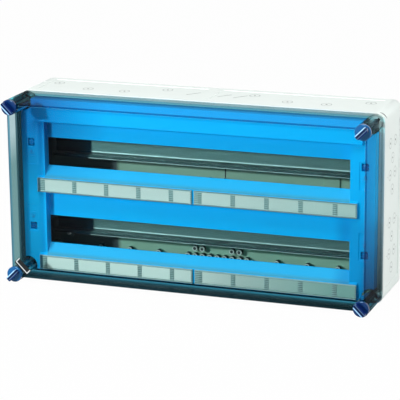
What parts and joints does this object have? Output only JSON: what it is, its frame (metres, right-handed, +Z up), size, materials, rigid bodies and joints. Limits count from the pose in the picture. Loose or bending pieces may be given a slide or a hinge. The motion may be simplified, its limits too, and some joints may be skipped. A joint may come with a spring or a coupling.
{
  "type": "circuit breaker enclosure",
  "caption": "Wall-mounted distribution enclosure with a deep clear lift-off lid, quarter-turn corner knobs, a blue device cover with windows, label strips and rails for circuit breakers.",
  "frame": {"origin": "centre of the back face that lies on the wall", "axes": "+Y into the wall, so the front looks along -Y; +X to the right; +Z up"},
  "size_m": [0.6, 0.185, 0.3],
  "materials": {
    "base_plastic": "fine moulded texture",
    "gasket_foam": "closed foam",
    "lid_clear": "clear, smoke tinted, polished",
    "plate_plastic": "bare",
    "cover_blue": "satin",
    "knob_blue": "polished",
    "latch_plastic": "satin",
    "rail_steel": "zinc plated and passivated",
    "strip_plastic": "satin",
    "card_paper": "smooth card"
  },
  "bodies": {
    "enclosure": {"base_box": "base_plastic", "lid_gasket": "gasket_foam", "device_cover": "cover_blue", "din_rail_upper": "rail_steel", "label_strip_upper_left": "strip_plastic", "label_cards_upper_left": "card_paper", "label_strip_upper_right": "strip_plastic", "label_cards_upper_right": "card_paper", "din_rail_lower": "rail_steel", "label_strip_lower_left": "strip_plastic", "label_cards_lower_left": "card_paper", "label_strip_lower_right": "strip_plastic", "label_cards_lower_right": "card_paper"},
    "lid_body": {"lid": "lid_clear", "label_plate": "plate_plastic"},
    "fastener_top_left_body": {"fastener_top_left": "knob_blue"},
    "latch_top_left_body": {"cover_latch_top_left": "latch_plastic"},
    "fastener_top_right_body": {"fastener_top_right": "knob_blue"},
    "latch_top_right_body": {"cover_latch_top_right": "latch_plastic"},
    "fastener_bottom_left_body": {"fastener_bottom_left": "knob_blue"},
    "latch_bottom_left_body": {"cover_latch_bottom_left": "latch_plastic"},
    "fastener_bottom_right_body": {"fastener_bottom_right": "knob_blue"},
    "latch_bottom_right_body": {"cover_latch_bottom_right": "latch_plastic"}
  },
  "joints": [
    {"name": "lid_lift", "type": "slide", "parent": "enclosure", "child": "lid_body", "axis": [0, -1, 0], "range_m": [0, 0.15]},
    {"name": "fastener_top_left_turn", "type": "hinge", "parent": "lid_body", "child": "fastener_top_left_body", "pos_m": [-0.286, -0.171, 0.136], "axis": [0, 1, 0], "range_deg": [0, 90]},
    {"name": "fastener_top_right_turn", "type": "hinge", "parent": "lid_body", "child": "fastener_top_right_body", "pos_m": [0.286, -0.171, 0.136], "axis": [0, 1, 0], "range_deg": [0, 90]},
    {"name": "fastener_bottom_left_turn", "type": "hinge", "parent": "lid_body", "child": "fastener_bottom_left_body", "pos_m": [-0.286, -0.171, -0.136], "axis": [0, 1, 0], "range_deg": [0, 90]},
    {"name": "fastener_bottom_right_turn", "type": "hinge", "parent": "lid_body", "child": "fastener_bottom_right_body", "pos_m": [0.286, -0.171, -0.136], "axis": [0, 1, 0], "range_deg": [0, 90]},
    {"name": "latch_top_left_turn", "type": "hinge", "parent": "enclosure", "child": "latch_top_left_body", "pos_m": [-0.275, -0.113, 0.069], "axis": [0, 1, 0], "range_deg": [0, 90]},
    {"name": "latch_top_right_turn", "type": "hinge", "parent": "enclosure", "child": "latch_top_right_body", "pos_m": [0.275, -0.113, 0.069], "axis": [0, 1, 0], "range_deg": [0, 90]},
    {"name": "latch_bottom_left_turn", "type": "hinge", "parent": "enclosure", "child": "latch_bottom_left_body", "pos_m": [-0.275, -0.113, -0.069], "axis": [0, 1, 0], "range_deg": [0, 90]},
    {"name": "latch_bottom_right_turn", "type": "hinge", "parent": "enclosure", "child": "latch_bottom_right_body", "pos_m": [0.275, -0.113, -0.069], "axis": [0, 1, 0], "range_deg": [0, 90]}
  ]
}
